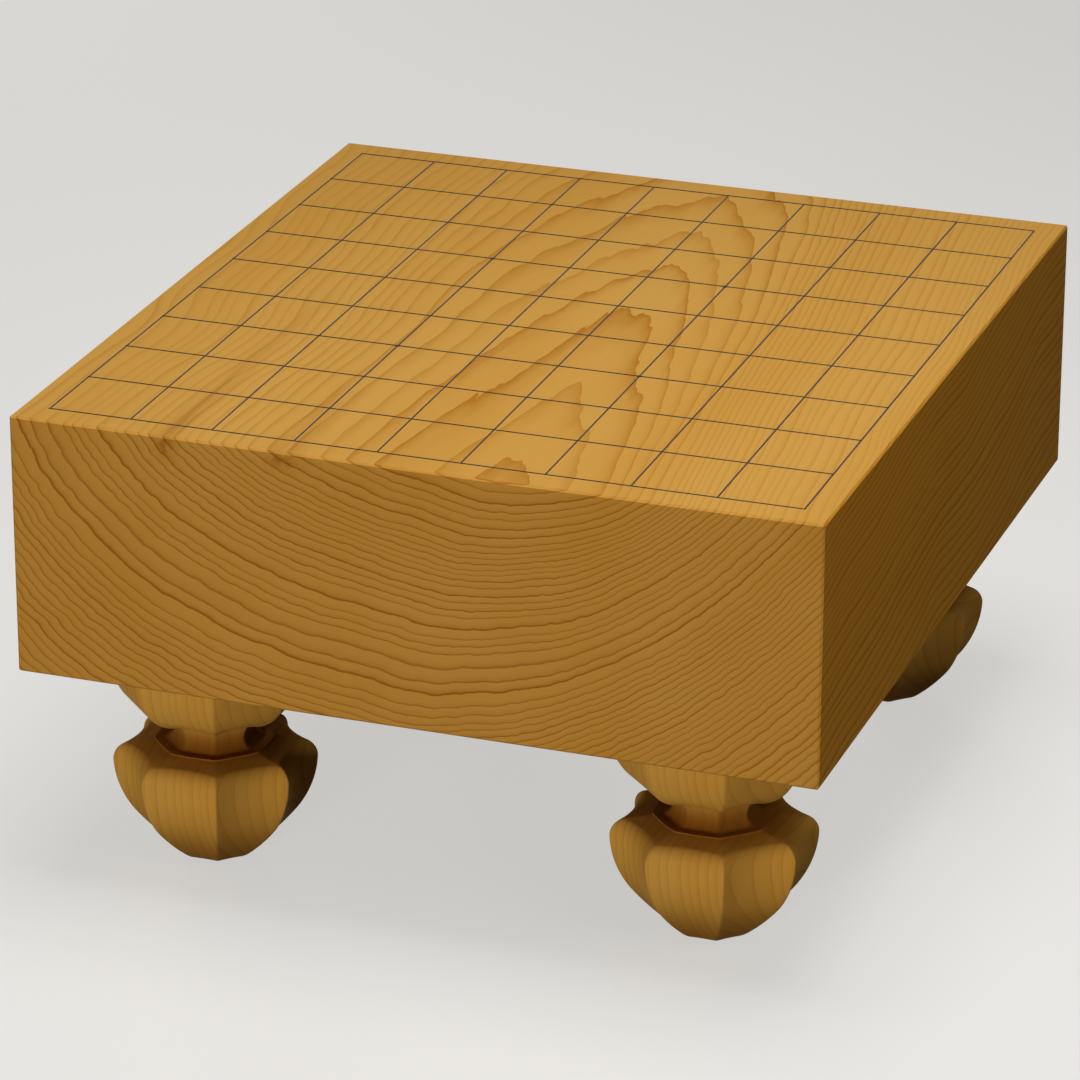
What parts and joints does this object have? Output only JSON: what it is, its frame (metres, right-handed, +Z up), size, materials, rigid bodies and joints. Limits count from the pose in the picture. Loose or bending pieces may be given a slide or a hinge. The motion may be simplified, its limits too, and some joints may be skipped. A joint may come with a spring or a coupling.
{
  "type": "legged shogi board",
  "caption": "Thick wooden shogi board on carved bulb-shaped legs, with a raised lacquer grid and star points on top; each leg's round tenon pulls out of the underside.",
  "frame": {"origin": "on the floor under the middle of the block", "axes": "+Z up, +Y from the near player to the far player, +X to the near player's right"},
  "size_m": [0.333, 0.363, 0.2044],
  "materials": {
    "block_wood": "planed and waxed, satin",
    "leg_wood": "carved and waxed, satin",
    "lacquer": "dark lacquer"
  },
  "bodies": {
    "board": {"board_block": "block_wood", "file_line_1": "lacquer", "file_line_2": "lacquer", "file_line_3": "lacquer", "file_line_4": "lacquer", "file_line_5": "lacquer", "file_line_6": "lacquer", "file_line_7": "lacquer", "file_line_8": "lacquer", "file_line_9": "lacquer", "file_line_10": "lacquer", "rank_line_1": "lacquer", "rank_line_2": "lacquer", "rank_line_3": "lacquer", "rank_line_4": "lacquer", "rank_line_5": "lacquer", "rank_line_6": "lacquer", "rank_line_7": "lacquer", "rank_line_8": "lacquer", "rank_line_9": "lacquer", "rank_line_10": "lacquer", "star_point_front_left": "lacquer", "star_point_front_right": "lacquer", "star_point_back_left": "lacquer", "star_point_back_right": "lacquer"},
    "front_left_leg": {"leg_front_left": "leg_wood"},
    "front_right_leg": {"leg_front_right": "leg_wood"},
    "back_left_leg": {"leg_back_left": "leg_wood"},
    "back_right_leg": {"leg_back_right": "leg_wood"}
  },
  "joints": [
    {"name": "front_left_leg_pull", "type": "slide", "parent": "board", "child": "front_left_leg", "axis": [0, 0, -1], "range_m": [0, 0.031]},
    {"name": "front_right_leg_pull", "type": "slide", "parent": "board", "child": "front_right_leg", "axis": [0, 0, -1], "range_m": [0, 0.031]},
    {"name": "back_left_leg_pull", "type": "slide", "parent": "board", "child": "back_left_leg", "axis": [0, 0, -1], "range_m": [0, 0.031]},
    {"name": "back_right_leg_pull", "type": "slide", "parent": "board", "child": "back_right_leg", "axis": [0, 0, -1], "range_m": [0, 0.031]}
  ]
}
